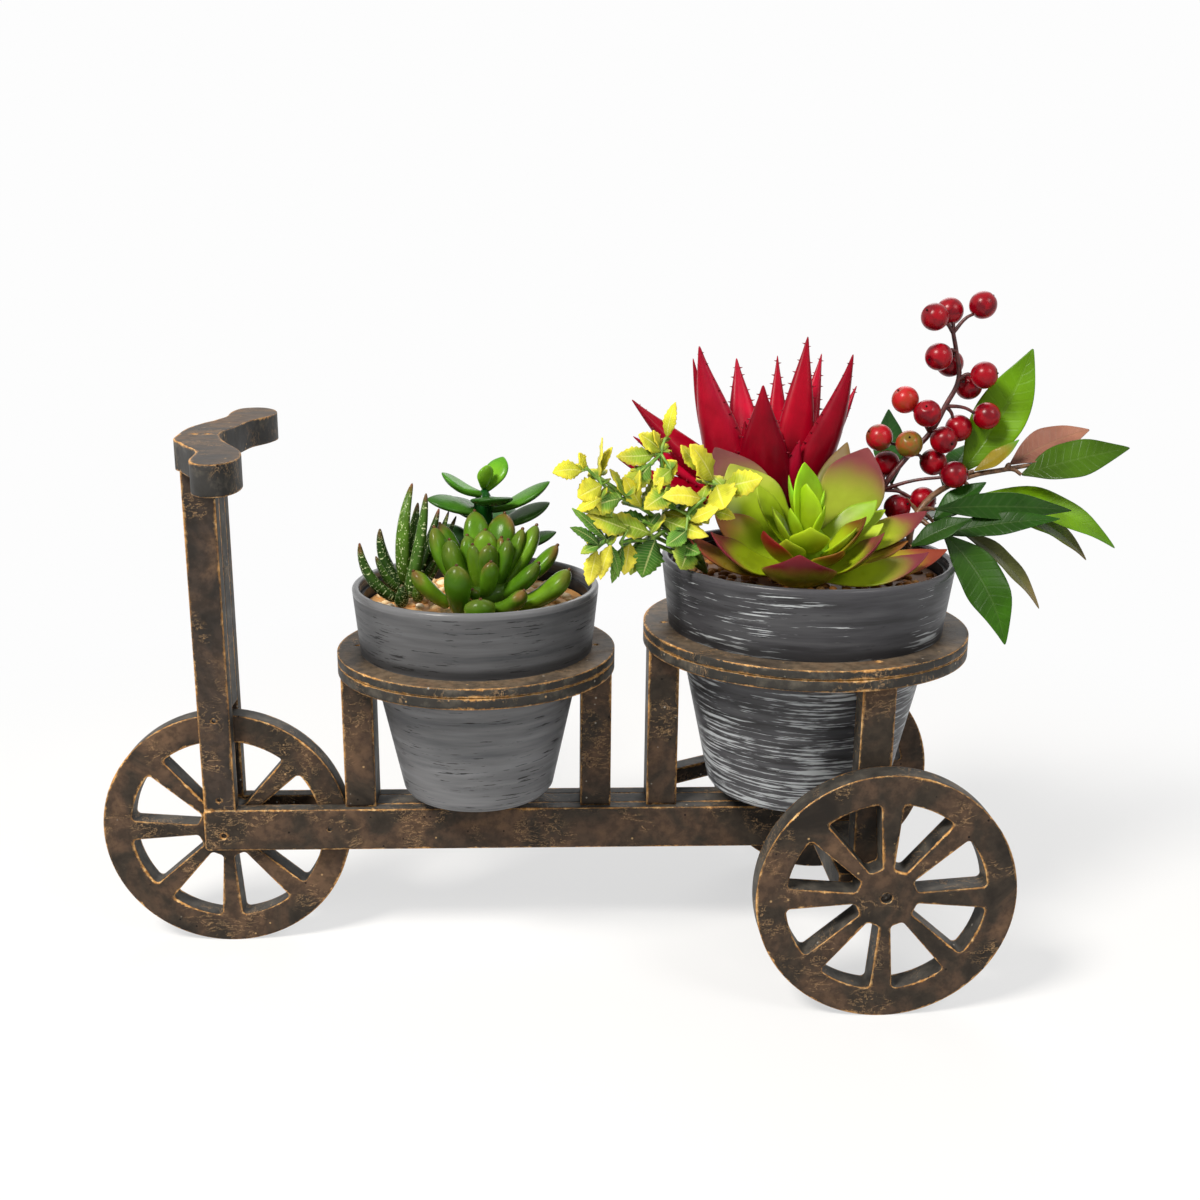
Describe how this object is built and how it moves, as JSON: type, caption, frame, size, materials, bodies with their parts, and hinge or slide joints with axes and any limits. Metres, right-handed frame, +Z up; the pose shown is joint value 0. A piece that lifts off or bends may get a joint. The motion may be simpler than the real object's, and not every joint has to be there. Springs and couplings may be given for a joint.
{
  "type": "bicycle planter",
  "caption": "Worn wooden tricycle planter with ring stands that hold two hanging pots of artificial succulents, turning wheels and a fixed handlebar.",
  "frame": {"origin": "middle of the whole model's footprint, on the floor under the wheels", "axes": "+X from the front wheel to the rear wheels, +Y to the tricycle's right side (the far side in the picture), +Z up"},
  "size_m": [0.4634, 0.1802, 0.3],
  "materials": {
    "worn_board": "dark brown paint over fibreboard, worn to tan along the edges",
    "worn_wheel_board": "the same paint, with mottled dark patches and tan worn edges",
    "nail_steel": "dull plain steel",
    "small_pot_ceramic": "grey, dark horizontal brush marks, semi matt",
    "large_pot_ceramic": "charcoal with pale dry-brushed horizontal strokes, semi matt",
    "liner_plastic": "black, matt",
    "floral_foam": "dry green foam, open pores",
    "tan_pebbles": "tan and beige pebbles, 3 to 5 mm, matt",
    "brown_pebbles": "brown and tan pebbles, 3 to 5 mm, matt",
    "haworthia_leaf": "dark green with white bumps and brown tips",
    "jade_leaf": "mid green, soft gloss",
    "finger_leaf": "green, reddish brown at the tips",
    "aloe_leaf": "crimson, paler teeth along the edges",
    "echeveria_leaf": "lime green, red and purple at the tips",
    "variegated_leaf": "yellow leaf with green middle",
    "stem_brown": "brown stem, matt",
    "berry_red": "red, glossy",
    "spray_leaf": "green to brown pink leaf, soft sheen"
  },
  "bodies": {
    "frame": {"rail_left": "worn_board", "rail_right": "worn_board", "center_beam": "worn_board", "rear_cross_board": "worn_board", "post_board_left": "worn_board", "post_board_right": "worn_board", "post_block": "worn_board", "handlebar": "worn_board", "small_ring_top": "worn_board", "small_ring_base": "worn_board", "small_ring_leg_front": "worn_board", "small_ring_leg_rear": "worn_board", "large_ring_top": "worn_board", "large_ring_base": "worn_board", "large_ring_leg_front": "worn_board", "large_ring_leg_left": "worn_board", "large_ring_leg_right": "worn_board", "side_stay": "worn_board", "front_axle": "nail_steel", "rear_axle_left": "nail_steel", "rear_axle_right": "nail_steel", "post_nails": "nail_steel", "bar_nails": "nail_steel", "ring_nails": "nail_steel"},
    "front_wheel_body": {"front_wheel": "worn_wheel_board"},
    "rear_wheel_left_body": {"rear_wheel_left": "worn_wheel_board"},
    "rear_wheel_right_body": {"rear_wheel_right": "worn_wheel_board"},
    "small_pot_body": {"small_pot": "small_pot_ceramic", "small_liner": "liner_plastic", "small_foam": "floral_foam", "small_gravel": "tan_pebbles", "haworthia": "haworthia_leaf", "jade_sprig": "jade_leaf", "finger_rosette": "finger_leaf"},
    "large_pot_body": {"large_pot": "large_pot_ceramic", "large_liner": "liner_plastic", "large_foam": "floral_foam", "large_gravel": "brown_pebbles", "red_aloe": "aloe_leaf", "echeveria": "echeveria_leaf", "variegated_sprig": "variegated_leaf", "berry_stem": "stem_brown", "berries": "berry_red", "leaf_spray": "spray_leaf"}
  },
  "joints": [
    {"name": "front_wheel_spin", "type": "hinge", "parent": "frame", "child": "front_wheel_body", "pos_m": [-0.17568, -0.00202, 0.056], "axis": [0, 1, 0], "continuous": true},
    {"name": "rear_wheel_left_spin", "type": "hinge", "parent": "frame", "child": "rear_wheel_left_body", "pos_m": [0.11332, -0.07327, 0.055], "axis": [0, 1, 0], "continuous": true},
    {"name": "rear_wheel_right_spin", "type": "hinge", "parent": "frame", "child": "rear_wheel_right_body", "pos_m": [0.11332, 0.06923, 0.055], "axis": [0, 1, 0], "continuous": true},
    {"name": "small_pot_lift", "type": "slide", "parent": "frame", "child": "small_pot_body", "axis": [0, 0, 1], "range_m": [0, 0.067]},
    {"name": "large_pot_lift", "type": "slide", "parent": "frame", "child": "large_pot_body", "axis": [0, 0, 1], "range_m": [0, 0.076]}
  ]
}
